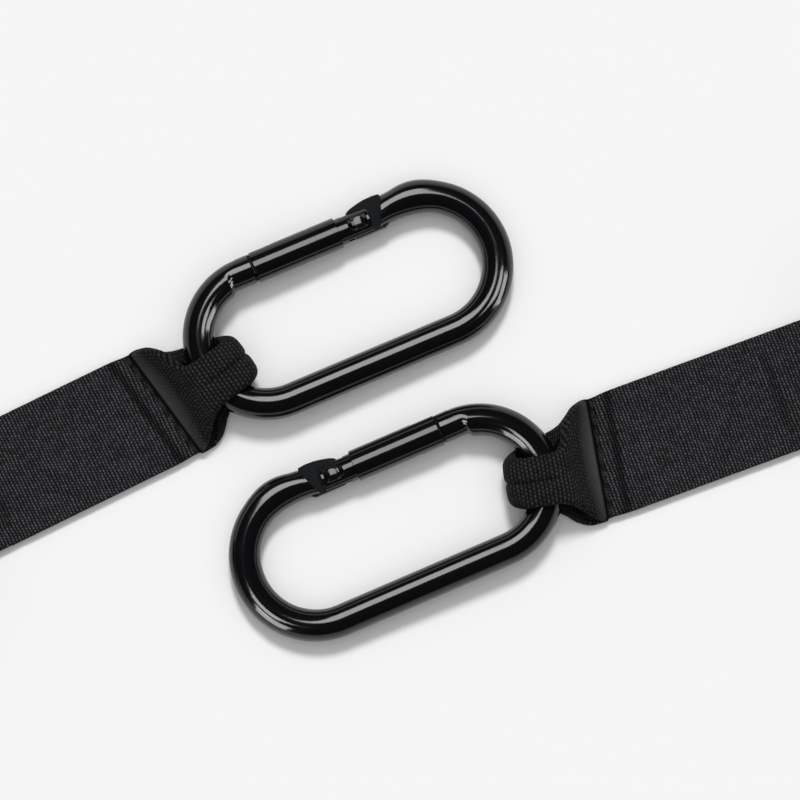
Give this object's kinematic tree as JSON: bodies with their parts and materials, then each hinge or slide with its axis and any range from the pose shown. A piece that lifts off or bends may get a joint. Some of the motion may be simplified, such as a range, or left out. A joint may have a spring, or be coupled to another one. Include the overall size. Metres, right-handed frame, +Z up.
{
  "type": "gymnastic ring pair with carabiner straps",
  "caption": "Pair of wooden gymnastic rings on black webbing straps, each folded and banded, with an oval gated carabiner in the strap's sewn end eye.",
  "frame": {"origin": "middle of the pair on the surface it lies on", "axes": "+X along the carabiners from the left set to the right set, +Y to the gates' side, +Z up"},
  "size_m": [1.1194, 0.3048, 0.0332],
  "materials": {
    "black_steel": "glossy black coating",
    "bright_steel": "plain spring steel",
    "webbing": "coarse woven black webbing",
    "hook_and_loop": "black hook and loop band",
    "wood": "sanded pale wood, lightly oiled"
  },
  "bodies": {
    "left_strap_unit": {"left_eye_flap": "webbing", "left_strap_run": "webbing", "left_strap_hank": "webbing", "left_hank_keeper": "hook_and_loop", "left_ring_lead": "webbing", "left_ring_eye_flap": "webbing"},
    "left_eye_unit": {"left_carabiner_eye": "webbing"},
    "left_carabiner_unit": {"left_carabiner_body": "black_steel", "left_hinge_rivet": "black_steel"},
    "left_gate_unit": {"left_gate": "black_steel", "left_latch_pin": "black_steel", "left_gate_spring": "bright_steel"},
    "left_plunger_unit": {"left_spring_plunger": "bright_steel"},
    "left_ring_eye_unit": {"left_ring_eye": "webbing"},
    "left_ring_unit": {"left_wooden_ring": "wood"},
    "right_strap_unit": {"right_eye_flap": "webbing", "right_strap_run": "webbing", "right_strap_hank": "webbing", "right_hank_keeper": "hook_and_loop", "right_ring_lead": "webbing", "right_ring_eye_flap": "webbing"},
    "right_eye_unit": {"right_carabiner_eye": "webbing"},
    "right_carabiner_unit": {"right_carabiner_body": "black_steel", "right_hinge_rivet": "black_steel"},
    "right_gate_unit": {"right_gate": "black_steel", "right_latch_pin": "black_steel", "right_gate_spring": "bright_steel"},
    "right_plunger_unit": {"right_spring_plunger": "bright_steel"},
    "right_ring_eye_unit": {"right_ring_eye": "webbing"},
    "right_ring_unit": {"right_wooden_ring": "wood"}
  },
  "joints": [
    {"name": "left_eye_flex", "type": "hinge", "parent": "left_strap_unit", "child": "left_eye_unit", "pos_m": [-0.05839, 0.0547, 0.0033], "axis": [0.23, -0.9732, 0], "range_deg": [0, 80]},
    {"name": "left_carabiner_swing", "type": "hinge", "parent": "left_eye_unit", "child": "left_carabiner_unit", "pos_m": [-0.0213, 0.06079, 0.00761], "axis": [0.0339, 0, 0.9994], "range_deg": [-12, 30]},
    {"name": "left_gate_hinge", "type": "hinge", "parent": "left_carabiner_unit", "child": "left_gate_unit", "pos_m": [0.01908, 0.08219, 0.00624], "axis": [0.0339, 0, 0.9994], "range_deg": [0, 26], "stiffness_Nm_per_rad": 0.4, "springref_deg": -22.92},
    {"name": "left_plunger_slide", "type": "slide", "parent": "left_gate_unit", "child": "left_plunger_unit", "axis": [-0.9994, 0, 0.0339], "range_m": [0, 0.0014], "deforming": ["left_gate_spring"]},
    {"name": "left_ring_eye_flex", "type": "hinge", "parent": "left_strap_unit", "child": "left_ring_eye_unit", "pos_m": [-0.30206, 0.04193, 0.0176], "axis": [-0.0523, 0.9986, 0], "range_deg": [0, 80]},
    {"name": "left_ring_turn", "type": "hinge", "parent": "left_ring_eye_unit", "child": "left_ring_unit", "pos_m": [-0.44186, 0.0346, 0.01498], "axis": [-0.0094, -0.0005, 1], "continuous": true},
    {"name": "right_set_lift", "type": "slide", "parent": "left_strap_unit", "child": "right_strap_unit", "axis": [0, 0, 1], "range_m": [0, 0.15]},
    {"name": "right_eye_flex", "type": "hinge", "parent": "right_strap_unit", "child": "right_eye_unit", "pos_m": [0.05839, -0.0145, 0.0033], "axis": [0.23, 0.9732, 0], "range_deg": [0, 80]},
    {"name": "right_carabiner_swing", "type": "hinge", "parent": "right_eye_unit", "child": "right_carabiner_unit", "pos_m": [0.0213, -0.00841, 0.00761], "axis": [0.0339, 0, -0.9994], "range_deg": [-30, 12]},
    {"name": "right_gate_hinge", "type": "hinge", "parent": "right_carabiner_unit", "child": "right_gate_unit", "pos_m": [-0.01908, 0.01299, 0.00624], "axis": [0.0339, 0, -0.9994], "range_deg": [0, 26], "stiffness_Nm_per_rad": 0.4, "springref_deg": -22.92},
    {"name": "right_plunger_slide", "type": "slide", "parent": "right_gate_unit", "child": "right_plunger_unit", "axis": [0.9994, 0, 0.0339], "range_m": [0, 0.0014], "deforming": ["right_gate_spring"]},
    {"name": "right_ring_eye_flex", "type": "hinge", "parent": "right_strap_unit", "child": "right_ring_eye_unit", "pos_m": [0.30206, -0.02727, 0.0176], "axis": [-0.0523, -0.9986, 0], "range_deg": [0, 80]},
    {"name": "right_ring_turn", "type": "hinge", "parent": "right_ring_eye_unit", "child": "right_ring_unit", "pos_m": [0.44186, -0.0346, 0.01498], "axis": [0.0094, -0.0005, 1], "continuous": true}
  ],
  "couplings": [
    {"joint": "left_plunger_slide", "follows": "left_gate_hinge", "m_per_rad": 0.0028},
    {"joint": "right_plunger_slide", "follows": "right_gate_hinge", "m_per_rad": 0.0028}
  ]
}
